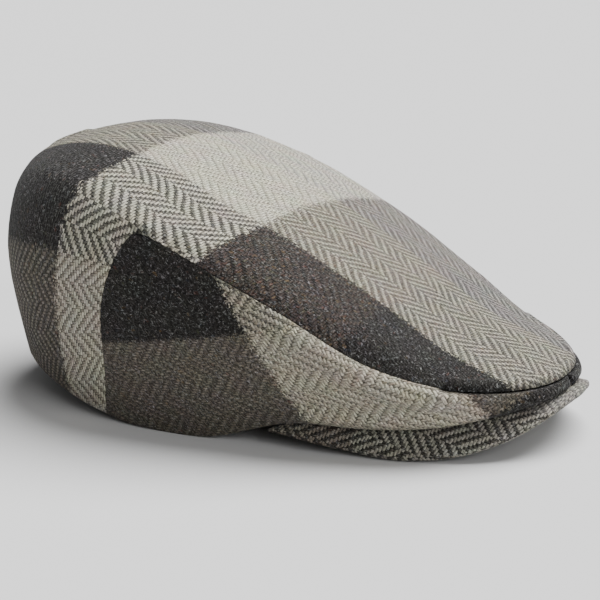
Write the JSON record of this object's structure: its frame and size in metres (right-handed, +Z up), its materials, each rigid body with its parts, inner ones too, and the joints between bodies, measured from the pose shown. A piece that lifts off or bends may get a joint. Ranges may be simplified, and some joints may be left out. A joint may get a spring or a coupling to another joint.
{
  "type": "flat cap",
  "caption": "Soft flat cap in herringbone block-check tweed: a long top panel that slopes forward, two side panels and a curved covered peak under its front.",
  "frame": {"origin": "on the floor, under the middle of the cap's length and width, with the cap lying as it would by itself", "axes": "+Z up, -Y to the front of the peak, -X to the wearer's right"},
  "size_m": [0.1842, 0.2956, 0.1259],
  "materials": {
    "wool_tweed": "brushed wool in broken herringbone twill, block check of charcoal, brown, grey and cream, matt with a soft nap"
  },
  "bodies": {
    "root": {"top_panel": "wool_tweed", "side_panel_right": "wool_tweed", "side_panel_left": "wool_tweed", "peak": "wool_tweed"}
  },
  "joints": []
}
